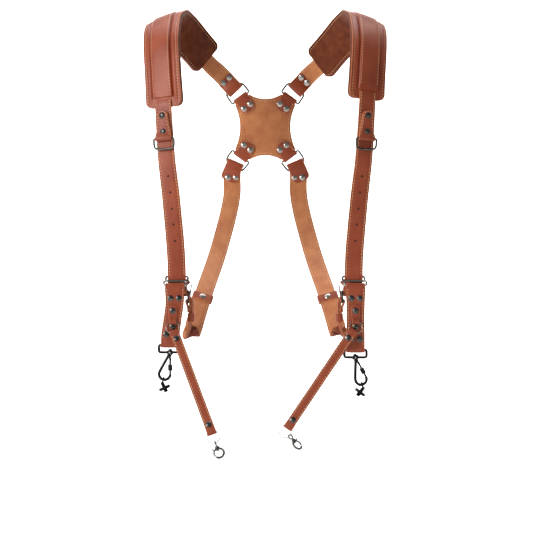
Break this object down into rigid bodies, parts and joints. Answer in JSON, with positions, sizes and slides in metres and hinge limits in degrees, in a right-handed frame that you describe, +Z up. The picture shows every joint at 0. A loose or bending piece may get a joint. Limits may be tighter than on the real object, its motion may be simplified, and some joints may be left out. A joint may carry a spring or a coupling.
{
  "type": "dual camera harness",
  "caption": "Leather shoulder harness with padded straps, an X-shaped back plate, and a swivel hook and safety tether hanging from each front strap.",
  "frame": {"origin": "midway between the tops of the two shoulder pads, where the harness sits on the shoulders", "axes": "+Z up, -Y towards the wearer's front, +X towards the wearer's left side, which is on the right as seen from the front"},
  "size_m": [0.3367, 0.2825, 0.6142],
  "materials": {
    "grain_leather": "smooth grain, semi-matt",
    "flesh_leather": "matt suede side",
    "suede": "matt suede",
    "gunmetal": "polished antique nickel",
    "black_metal": "gloss black plating"
  },
  "bodies": {
    "harness": {"back_plate": "flesh_leather", "pad_outer_left": "grain_leather", "pad_lining_left": "suede", "shoulder_strap_left": "grain_leather", "lower_strap_left": "flesh_leather", "d_ring_tab_left": "grain_leather", "plate_tab_upper_left": "grain_leather", "plate_tab_lower_left": "grain_leather", "plate_ring_upper_left": "gunmetal", "plate_ring_lower_left": "gunmetal", "keeper_riveted_left": "grain_leather", "keeper_plain_left": "grain_leather", "buckle_frame_left": "gunmetal", "buckle_prong_left": "gunmetal", "slider_ring_left": "gunmetal", "hanger_left": "grain_leather", "tether_anchor_left": "grain_leather", "split_ring_left": "gunmetal", "tether_left": "grain_leather", "tether_ring_left": "gunmetal", "snap_swivel_left": "black_metal", "pad_outer_right": "grain_leather", "pad_lining_right": "suede", "shoulder_strap_right": "grain_leather", "lower_strap_right": "flesh_leather", "d_ring_tab_right": "grain_leather", "plate_tab_upper_right": "grain_leather", "plate_tab_lower_right": "grain_leather", "plate_ring_upper_right": "gunmetal", "plate_ring_lower_right": "gunmetal", "keeper_riveted_right": "grain_leather", "keeper_plain_right": "grain_leather", "buckle_frame_right": "gunmetal", "buckle_prong_right": "gunmetal", "slider_ring_right": "gunmetal", "hanger_right": "grain_leather", "tether_anchor_right": "grain_leather", "split_ring_right": "gunmetal", "tether_right": "grain_leather", "tether_ring_right": "gunmetal", "snap_swivel_right": "black_metal"},
    "hook_frame_left": {"hook_frame_left": "black_metal"},
    "hook_left": {"hook_body_left": "black_metal", "camera_ring_left": "black_metal"},
    "gate_left": {"hook_gate_left": "black_metal"},
    "sleeve_left": {"hook_sleeve_left": "black_metal"},
    "camera_screw_left": {"camera_screw_left": "black_metal"},
    "d_ring_left": {"d_ring_left": "gunmetal"},
    "snap_left": {"snap_hook_left": "black_metal"},
    "lever_left": {"snap_lever_left": "black_metal"},
    "hook_frame_right": {"hook_frame_right": "black_metal"},
    "hook_right": {"hook_body_right": "black_metal", "camera_ring_right": "black_metal"},
    "gate_right": {"hook_gate_right": "black_metal"},
    "sleeve_right": {"hook_sleeve_right": "black_metal"},
    "camera_screw_right": {"camera_screw_right": "black_metal"},
    "d_ring_right": {"d_ring_right": "gunmetal"},
    "snap_right": {"snap_hook_right": "black_metal"},
    "lever_right": {"snap_lever_right": "black_metal"}
  },
  "joints": [
    {"name": "frame_swing_left", "type": "hinge", "parent": "harness", "child": "hook_frame_left", "pos_m": [-0.12923, -0.0888, -0.45575], "axis": [1, 0, 0], "range_deg": [-12, 60]},
    {"name": "hook_swivel_left", "type": "hinge", "parent": "hook_frame_left", "child": "hook_left", "pos_m": [-0.12923, -0.0888, -0.46595], "axis": [0.2419, 0, 0.9703], "continuous": true},
    {"name": "gate_hinge_left", "type": "hinge", "parent": "hook_left", "child": "gate_left", "pos_m": [-0.12911, -0.0888, -0.47515], "axis": [0, 1, 0], "range_deg": [0, 18]},
    {"name": "sleeve_slide_left", "type": "slide", "parent": "gate_left", "child": "sleeve_left", "axis": [0.0045, 0, -1], "range_m": [0, 0.004]},
    {"name": "screw_hinge_left", "type": "hinge", "parent": "hook_left", "child": "camera_screw_left", "pos_m": [-0.13969, -0.0888, -0.50787], "axis": [0, 1, 0], "range_deg": [0, 90]},
    {"name": "d_ring_hinge_left", "type": "hinge", "parent": "harness", "child": "d_ring_left", "pos_m": [-0.13795, -0.08831, -0.17486], "axis": [-0.9412, 0.334, -0.0512], "range_deg": [0, 100]},
    {"name": "snap_swivel_left", "type": "hinge", "parent": "harness", "child": "snap_left", "pos_m": [-0.06081, -0.17817, -0.59494], "axis": [-0.3206, 0.4308, 0.8436], "continuous": true},
    {"name": "lever_hinge_left", "type": "hinge", "parent": "snap_left", "child": "lever_left", "pos_m": [-0.06632, -0.1763, -0.59183], "axis": [-0.0579, -0.8979, 0.4365], "range_deg": [0, 25]},
    {"name": "frame_swing_right", "type": "hinge", "parent": "harness", "child": "hook_frame_right", "pos_m": [0.12272, -0.0888, -0.46255], "axis": [1, 0, 0], "range_deg": [-12, 60]},
    {"name": "hook_swivel_right", "type": "hinge", "parent": "hook_frame_right", "child": "hook_right", "pos_m": [0.12272, -0.0888, -0.47275], "axis": [-0.2419, 0, 0.9703], "continuous": true},
    {"name": "gate_hinge_right", "type": "hinge", "parent": "hook_right", "child": "gate_right", "pos_m": [0.12716, -0.0888, -0.48082], "axis": [0, 1, 0], "range_deg": [0, 18]},
    {"name": "sleeve_slide_right", "type": "slide", "parent": "gate_right", "child": "sleeve_right", "axis": [0.4735, 0, -0.8808], "range_m": [0, 0.004]},
    {"name": "screw_hinge_right", "type": "hinge", "parent": "hook_right", "child": "camera_screw_right", "pos_m": [0.13318, -0.0888, -0.51467], "axis": [0, 1, 0], "range_deg": [-90, 0]},
    {"name": "d_ring_hinge_right", "type": "hinge", "parent": "harness", "child": "d_ring_right", "pos_m": [0.13795, -0.08831, -0.17486], "axis": [0.9412, 0.334, -0.0512], "range_deg": [-100, 0]},
    {"name": "snap_swivel_right", "type": "hinge", "parent": "harness", "child": "snap_right", "pos_m": [0.04318, -0.1172, -0.58916], "axis": [-0.6445, 0.1807, 0.7429], "continuous": true},
    {"name": "lever_hinge_right", "type": "hinge", "parent": "snap_right", "child": "lever_right", "pos_m": [0.04208, -0.11309, -0.58412], "axis": [-0.5269, 0.5991, -0.6029], "range_deg": [0, 25]}
  ]
}
